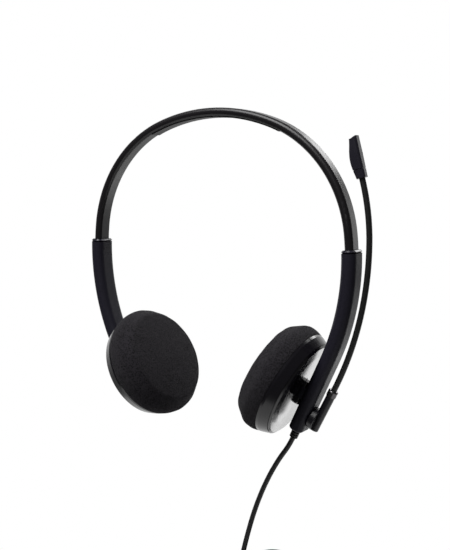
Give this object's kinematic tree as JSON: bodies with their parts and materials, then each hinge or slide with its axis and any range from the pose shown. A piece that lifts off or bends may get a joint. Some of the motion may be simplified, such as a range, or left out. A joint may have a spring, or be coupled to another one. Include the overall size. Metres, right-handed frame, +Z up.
{
  "type": "headset microphone",
  "caption": "Two-ear headset with a bent headband, sliding arms, swivelling foam-padded ear cups, a swing-down boom microphone and a cord with a plug.",
  "frame": {"origin": "where the crown rests on the head: the middle of the crown liner's underside", "axes": "+X to the wearer's left, where the boom is; -Y forward; +Z up"},
  "size_m": [0.1704, 0.0601, 0.3165],
  "materials": {
    "band_plastic": "satin black",
    "arm_plastic": "satin black",
    "trim_plastic": "matte black",
    "collar_plastic": "glossy black",
    "cup_plastic": "glossy black",
    "foam": "open-cell foam, charcoal",
    "liner_rubber": "soft matte black",
    "steel": "plain",
    "magnet_iron": "plated",
    "film": "thin translucent film",
    "winding": "enamelled copper",
    "boom_plastic": "satin black",
    "boom_rubber": "matte black",
    "ferrule_metal": "satin",
    "mic_plastic": "satin black",
    "cord_rubber": "matte black",
    "plug_plastic": "moulded black",
    "contact_metal": "gold plated",
    "band_ring_plastic": "black insulator"
  },
  "bodies": {
    "headband": {"headband": "band_plastic", "headband_spring": "steel", "cross_lead": "cord_rubber", "crown_liner": "liner_rubber", "left_headband_trim": "trim_plastic", "left_tail_clip": "plug_plastic", "right_headband_trim": "trim_plastic", "right_tail_clip": "plug_plastic"},
    "left_arm": {"left_arm_shell": "arm_plastic", "left_arm_cover": "arm_plastic", "left_arm_collar": "collar_plastic", "left_cup_bracket": "arm_plastic", "strain_relief": "cord_rubber", "cord_run": "cord_rubber", "cord_coil": "cord_rubber", "cord_tie": "plug_plastic", "plug_body": "plug_plastic", "plug_jack": "contact_metal", "plug_band_1": "band_ring_plastic", "plug_band_2": "band_ring_plastic", "plug_band_3": "band_ring_plastic"},
    "right_arm": {"right_arm_shell": "arm_plastic", "right_arm_cover": "arm_plastic", "right_arm_collar": "collar_plastic", "right_cup_bracket": "arm_plastic"},
    "left_cup": {"left_ear_pad": "foam", "left_cup_ring": "cup_plastic", "left_cup_shell": "cup_plastic", "left_speaker_baffle": "trim_plastic", "left_driver_frame": "plug_plastic", "left_diaphragm": "film", "left_voice_coil": "winding", "left_driver_magnet": "magnet_iron", "left_cup_screws": "steel", "left_swivel_pin": "steel"},
    "right_cup": {"right_ear_pad": "foam", "right_cup_ring": "cup_plastic", "right_cup_shell": "cup_plastic", "right_speaker_baffle": "trim_plastic", "right_driver_frame": "plug_plastic", "right_diaphragm": "film", "right_voice_coil": "winding", "right_driver_magnet": "magnet_iron", "right_cup_screws": "steel", "right_swivel_pin": "steel"},
    "boom": {"boom_hub": "boom_plastic", "boom_friction_washer": "trim_plastic", "boom_retainer": "steel", "boom_pivot_screw": "steel", "boom_ferrule": "ferrule_metal", "boom_tube": "boom_rubber", "mic_body": "mic_plastic", "mic_lid": "mic_plastic", "mic_element": "steel"}
  },
  "joints": [
    {"name": "left_arm_slide", "type": "hinge", "parent": "headband", "child": "left_arm", "pos_m": [-0.04104, 0, -0.07138], "axis": [0, 1, 0], "range_deg": [0, 13.5]},
    {"name": "right_arm_slide", "type": "hinge", "parent": "headband", "child": "right_arm", "pos_m": [0.04104, 0, -0.07138], "axis": [0, -1, 0], "range_deg": [0, 13.5]},
    {"name": "left_cup_swivel", "type": "hinge", "parent": "left_arm", "child": "left_cup", "pos_m": [0.05164, 0, -0.13931], "axis": [0.4617, 0, 0.887], "range_deg": [-23, 17]},
    {"name": "right_cup_swivel", "type": "hinge", "parent": "right_arm", "child": "right_cup", "pos_m": [-0.05164, 0, -0.13931], "axis": [0.4617, 0, -0.887], "range_deg": [-23, 17]},
    {"name": "boom_swing", "type": "hinge", "parent": "left_arm", "child": "boom", "pos_m": [0.0607, 0, -0.15347], "axis": [0.9063, 0, -0.4226], "range_deg": [0, 125]}
  ]
}
